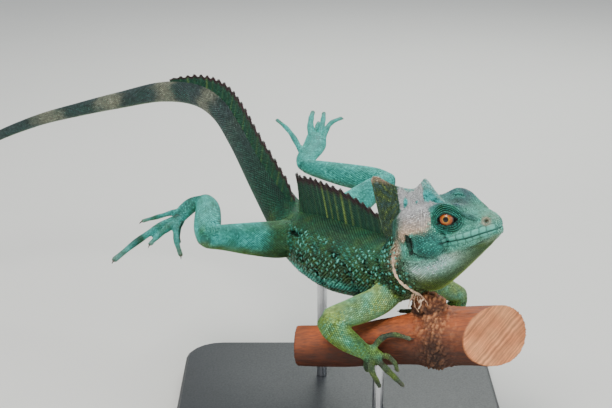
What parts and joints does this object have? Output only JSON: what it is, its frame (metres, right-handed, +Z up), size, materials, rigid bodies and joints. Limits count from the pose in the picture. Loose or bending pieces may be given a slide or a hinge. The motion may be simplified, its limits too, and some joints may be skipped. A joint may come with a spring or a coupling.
{
  "type": "green basilisk",
  "caption": "Life-size still model of a male green basilisk gripping the end of a cut log, tail arched behind, on a small display stand.",
  "frame": {"origin": "middle of the underside of the stand's base, where it meets the floor", "axes": "+X the way the snout points, as seen from the picture's side, +Y away from the picture's viewer, +Z up"},
  "size_m": [0.4192, 0.2998, 0.1776],
  "materials": {
    "skin": "scaled skin, blue-green with turquoise flecks",
    "throat_skin": "pale granular skin",
    "crest": "thin dark skin over rays",
    "eye": "glossy orange iris with a black pupil",
    "log_wood": "reddish peeled wood with a rough collar of bark",
    "stand": "matt black",
    "stand_rods": "brushed"
  },
  "bodies": {
    "root": {"head": "skin", "lower_jaw": "skin", "throat": "throat_skin", "eye_R": "eye", "eye_L": "eye", "head_crest_front": "crest", "head_crest_rear": "crest", "neck": "skin", "chest": "skin", "belly": "skin", "hips": "skin", "back_sail": "crest", "tail_1": "skin", "tail_2": "skin", "tail_3": "skin", "tail_4": "skin", "tail_5": "skin", "tail_sail_1": "crest", "tail_sail_2": "crest", "upper_arm_R": "skin", "forearm_R": "skin", "hand_R": "skin", "upper_arm_L": "skin", "forearm_L": "skin", "hand_L": "skin", "thigh_R": "skin", "shin_R": "skin", "foot_R": "skin", "thigh_L": "skin", "shin_L": "skin", "foot_L": "skin", "log": "log_wood", "stand_base": "stand", "stand_rod_log": "stand_rods", "stand_rod_body": "stand_rods"}
  },
  "joints": []
}
